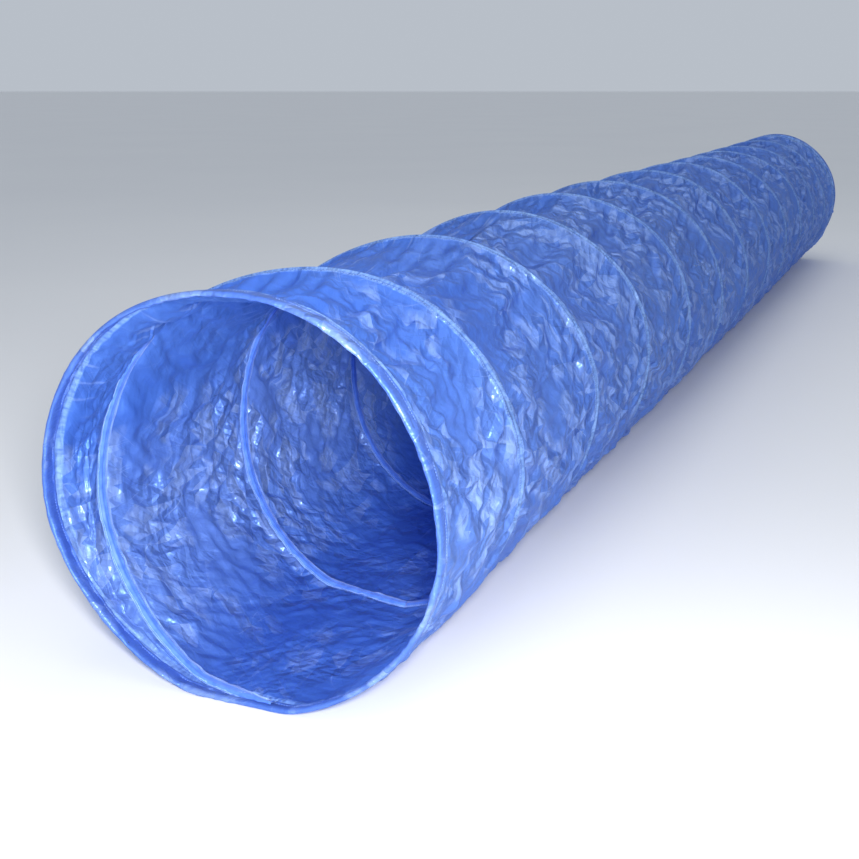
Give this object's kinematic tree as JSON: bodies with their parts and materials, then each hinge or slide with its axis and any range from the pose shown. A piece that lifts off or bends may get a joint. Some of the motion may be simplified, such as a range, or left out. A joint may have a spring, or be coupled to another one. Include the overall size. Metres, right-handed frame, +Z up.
{
  "type": "agility tunnel",
  "caption": "Pop-up dog agility tunnel: a round cloth tube held open by one helical spring wire, with a closed wire ring and folded hem at each open mouth.",
  "frame": {"origin": "on the floor, under the middle of the tunnel's length, midway between its sides", "axes": "+X runs along the tunnel from the near mouth to the far mouth, +Y is to the left when looking along +X, +Z is up"},
  "size_m": [5, 0.6, 0.59],
  "materials": {
    "tunnel_cloth": "thin coated polyester taffeta with a soft sheen, mid blue, creased",
    "hem_cloth": "the same blue cloth folded over the mouth ring and stitched",
    "seam_tape": "woven blue tape stitched along both edges over the wire",
    "spring_wire": "spring steel with a thin black plastic coat",
    "sleeve_steel": "plain crimped steel sleeve"
  },
  "bodies": {
    "near_mouth": {"near_mouth_ring": "spring_wire", "near_ring_sleeve": "sleeve_steel", "near_mouth_hem": "hem_cloth"},
    "turn_01": {"fabric_bay_01": "tunnel_cloth", "wire_turn_01": "spring_wire", "tape_turn_01": "seam_tape"},
    "turn_02": {"fabric_bay_02": "tunnel_cloth", "wire_turn_02": "spring_wire", "tape_turn_02": "seam_tape"},
    "turn_03": {"fabric_bay_03": "tunnel_cloth", "wire_turn_03": "spring_wire", "tape_turn_03": "seam_tape"},
    "turn_04": {"fabric_bay_04": "tunnel_cloth", "wire_turn_04": "spring_wire", "tape_turn_04": "seam_tape"},
    "turn_05": {"fabric_bay_05": "tunnel_cloth", "wire_turn_05": "spring_wire", "tape_turn_05": "seam_tape"},
    "turn_06": {"fabric_bay_06": "tunnel_cloth", "wire_turn_06": "spring_wire", "tape_turn_06": "seam_tape"},
    "turn_07": {"fabric_bay_07": "tunnel_cloth", "wire_turn_07": "spring_wire", "tape_turn_07": "seam_tape"},
    "turn_08": {"fabric_bay_08": "tunnel_cloth", "wire_turn_08": "spring_wire", "tape_turn_08": "seam_tape"},
    "turn_09": {"fabric_bay_09": "tunnel_cloth", "wire_turn_09": "spring_wire", "tape_turn_09": "seam_tape"},
    "turn_10": {"fabric_bay_10": "tunnel_cloth", "wire_turn_10": "spring_wire", "tape_turn_10": "seam_tape"},
    "turn_11": {"fabric_bay_11": "tunnel_cloth", "wire_turn_11": "spring_wire", "tape_turn_11": "seam_tape"},
    "turn_12": {"fabric_bay_12": "tunnel_cloth", "wire_turn_12": "spring_wire", "tape_turn_12": "seam_tape", "far_mouth_ring": "spring_wire", "far_ring_sleeve": "sleeve_steel", "far_mouth_hem": "hem_cloth"}
  },
  "joints": [
    {"name": "concertina_01", "type": "slide", "parent": "near_mouth", "child": "turn_01", "axis": [1, 0, 0], "range_m": [-0.4003, 0], "stiffness_N_per_m": 6, "springref_m": 0.05, "deforming": ["fabric_bay_01", "wire_turn_01", "tape_turn_01"]},
    {"name": "concertina_02", "type": "slide", "parent": "turn_01", "child": "turn_02", "axis": [1, 0, 0], "range_m": [-0.4003, 0], "stiffness_N_per_m": 6, "springref_m": 0.05, "deforming": ["fabric_bay_02", "wire_turn_02", "tape_turn_02"]},
    {"name": "concertina_03", "type": "slide", "parent": "turn_02", "child": "turn_03", "axis": [1, 0, 0], "range_m": [-0.4003, 0], "stiffness_N_per_m": 6, "springref_m": 0.05, "deforming": ["fabric_bay_03", "wire_turn_03", "tape_turn_03"]},
    {"name": "concertina_04", "type": "slide", "parent": "turn_03", "child": "turn_04", "axis": [1, 0, 0], "range_m": [-0.4003, 0], "stiffness_N_per_m": 6, "springref_m": 0.05, "deforming": ["fabric_bay_04", "wire_turn_04", "tape_turn_04"]},
    {"name": "concertina_05", "type": "slide", "parent": "turn_04", "child": "turn_05", "axis": [1, 0, 0], "range_m": [-0.4003, 0], "stiffness_N_per_m": 6, "springref_m": 0.05, "deforming": ["fabric_bay_05", "wire_turn_05", "tape_turn_05"]},
    {"name": "concertina_06", "type": "slide", "parent": "turn_05", "child": "turn_06", "axis": [1, 0, 0], "range_m": [-0.4003, 0], "stiffness_N_per_m": 6, "springref_m": 0.05, "deforming": ["fabric_bay_06", "wire_turn_06", "tape_turn_06"]},
    {"name": "concertina_07", "type": "slide", "parent": "turn_06", "child": "turn_07", "axis": [1, 0, 0], "range_m": [-0.4003, 0], "stiffness_N_per_m": 6, "springref_m": 0.05, "deforming": ["fabric_bay_07", "wire_turn_07", "tape_turn_07"]},
    {"name": "concertina_08", "type": "slide", "parent": "turn_07", "child": "turn_08", "axis": [1, 0, 0], "range_m": [-0.4003, 0], "stiffness_N_per_m": 6, "springref_m": 0.05, "deforming": ["fabric_bay_08", "wire_turn_08", "tape_turn_08"]},
    {"name": "concertina_09", "type": "slide", "parent": "turn_08", "child": "turn_09", "axis": [1, 0, 0], "range_m": [-0.4003, 0], "stiffness_N_per_m": 6, "springref_m": 0.05, "deforming": ["fabric_bay_09", "wire_turn_09", "tape_turn_09"]},
    {"name": "concertina_10", "type": "slide", "parent": "turn_09", "child": "turn_10", "axis": [1, 0, 0], "range_m": [-0.4003, 0], "stiffness_N_per_m": 6, "springref_m": 0.05, "deforming": ["fabric_bay_10", "wire_turn_10", "tape_turn_10"]},
    {"name": "concertina_11", "type": "slide", "parent": "turn_10", "child": "turn_11", "axis": [1, 0, 0], "range_m": [-0.4003, 0], "stiffness_N_per_m": 6, "springref_m": 0.05, "deforming": ["fabric_bay_11", "wire_turn_11", "tape_turn_11"]},
    {"name": "concertina_12", "type": "slide", "parent": "turn_11", "child": "turn_12", "axis": [1, 0, 0], "range_m": [-0.4003, 0], "stiffness_N_per_m": 6, "springref_m": 0.05, "deforming": ["fabric_bay_12", "wire_turn_12", "tape_turn_12"]}
  ],
  "couplings": [
    {"joint": "concertina_02", "follows": "concertina_01", "ratio": 1},
    {"joint": "concertina_03", "follows": "concertina_01", "ratio": 1},
    {"joint": "concertina_04", "follows": "concertina_01", "ratio": 1},
    {"joint": "concertina_05", "follows": "concertina_01", "ratio": 1},
    {"joint": "concertina_06", "follows": "concertina_01", "ratio": 1},
    {"joint": "concertina_07", "follows": "concertina_01", "ratio": 1},
    {"joint": "concertina_08", "follows": "concertina_01", "ratio": 1},
    {"joint": "concertina_09", "follows": "concertina_01", "ratio": 1},
    {"joint": "concertina_10", "follows": "concertina_01", "ratio": 1},
    {"joint": "concertina_11", "follows": "concertina_01", "ratio": 1},
    {"joint": "concertina_12", "follows": "concertina_01", "ratio": 1}
  ]
}
